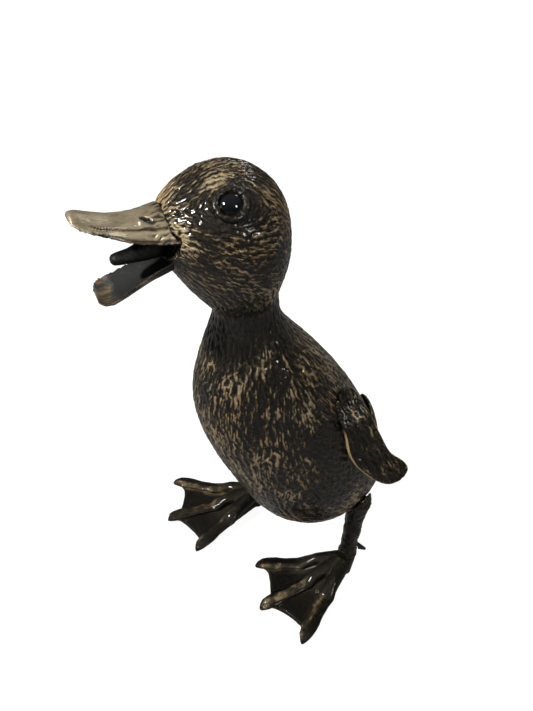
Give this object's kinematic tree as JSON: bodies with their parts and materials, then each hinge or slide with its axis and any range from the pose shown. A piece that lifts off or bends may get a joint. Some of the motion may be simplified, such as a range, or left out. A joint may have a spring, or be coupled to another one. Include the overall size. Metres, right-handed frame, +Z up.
{
  "type": "duckling figurine",
  "caption": "Cast duckling figurine that stands on webbed feet with its bill open and short wings held off its sides, a small tabletop ornament.",
  "frame": {"origin": "middle of the whole figure's bounding box, on the plane the soles stand on", "axes": "+Z up; the duckling faces -Y; +X is its left side, where the picture's camera stands"},
  "size_m": [0.0888, 0.0968, 0.1592],
  "materials": {
    "patinated_brass": "dark patina, rubbed to bright brass on the ridges",
    "polished_brass": "polished, lightly toned",
    "dark_brass": "dark patina, satin",
    "blackened_brass": "blackened, rough",
    "black_glass": "glossy black"
  },
  "bodies": {
    "root": {"body_shell": "patinated_brass", "head_shell": "patinated_brass", "upper_bill": "polished_brass", "lower_bill": "polished_brass", "tongue": "blackened_brass", "left_eye": "black_glass", "right_eye": "black_glass", "left_eye_lid": "patinated_brass", "right_eye_lid": "patinated_brass", "left_wing": "patinated_brass", "right_wing": "patinated_brass", "tail": "patinated_brass", "left_leg": "dark_brass", "right_leg": "dark_brass", "left_foot": "dark_brass", "right_foot": "dark_brass", "left_hind_toe": "dark_brass", "right_hind_toe": "dark_brass"}
  },
  "joints": []
}
